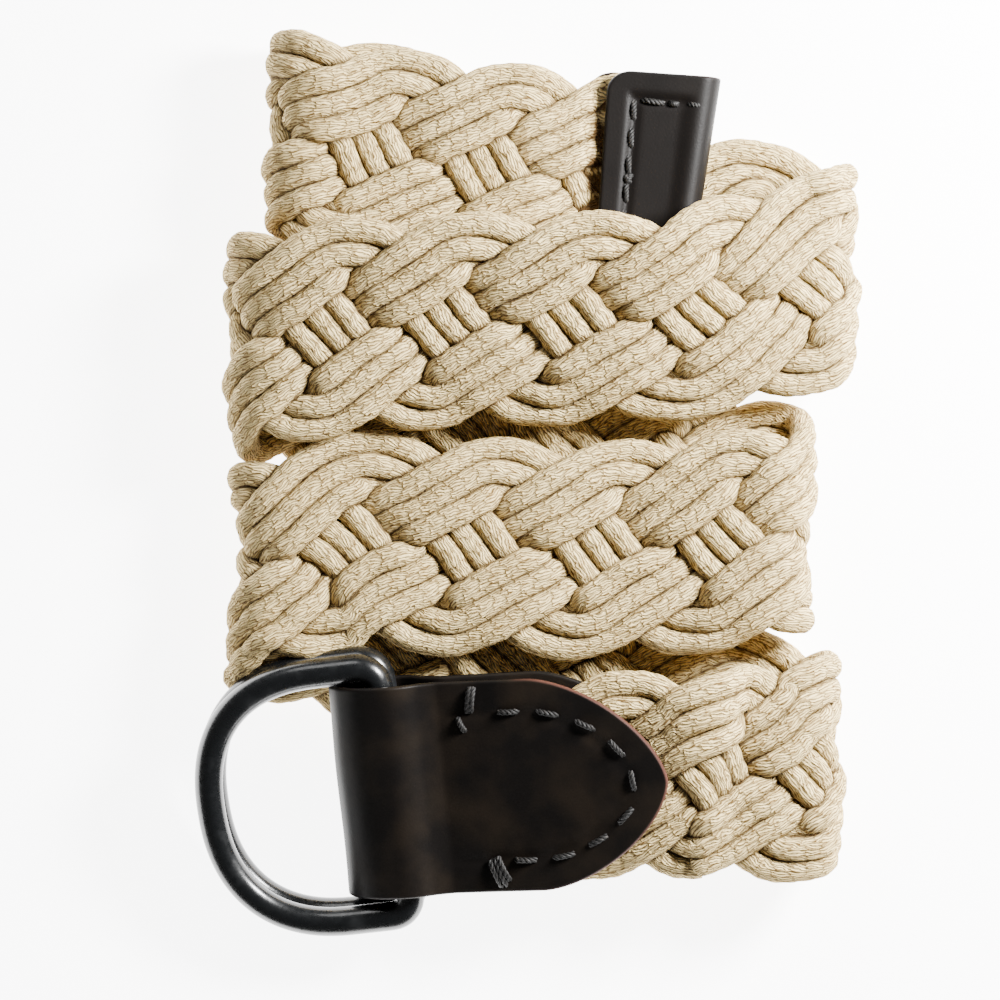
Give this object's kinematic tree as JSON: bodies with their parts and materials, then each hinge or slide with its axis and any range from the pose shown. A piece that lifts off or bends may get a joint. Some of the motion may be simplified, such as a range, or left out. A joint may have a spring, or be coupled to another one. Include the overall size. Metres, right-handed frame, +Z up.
{
  "type": "rope belt",
  "caption": "Wide belt braided from soft cotton rope, wound into a flat coil, with a folded leather tab holding D-rings and a leather tip cap.",
  "frame": {"origin": "on the ground, under the middle of the coil's box", "axes": "+Y across the passes, from the buckle end to the tip end; +X along the passes, away from the rings; +Z up from the ground, out of the coil's upper face"},
  "size_m": [0.1508, 0.206, 0.0372],
  "materials": {
    "cotton_rope": "soft knitted cotton rope, undyed cream, matt and a little fuzzy",
    "black_leather": "smooth black-brown leather with a polished face and a raw brown cut edge",
    "black_metal": "gloss black enamel on steel wire"
  },
  "bodies": {
    "belt": {"braid": "cotton_rope", "buckle_tab": "black_leather", "tip_cap": "black_leather"},
    "lower_ring": {"ring_lower": "black_metal"},
    "upper_ring": {"ring_upper": "black_metal"}
  },
  "joints": [
    {"name": "lower_ring_hinge", "type": "hinge", "parent": "belt", "child": "lower_ring", "pos_m": [-0.0299, -0.0691, 0.01407], "axis": [-0.1394, 0.9604, 0.2412], "range_deg": [0, 60]},
    {"name": "upper_ring_hinge", "type": "hinge", "parent": "lower_ring", "child": "upper_ring", "pos_m": [-0.03037, -0.0708, 0.02053], "axis": [-0.1394, 0.9604, 0.2412], "range_deg": [0, 75]}
  ]
}
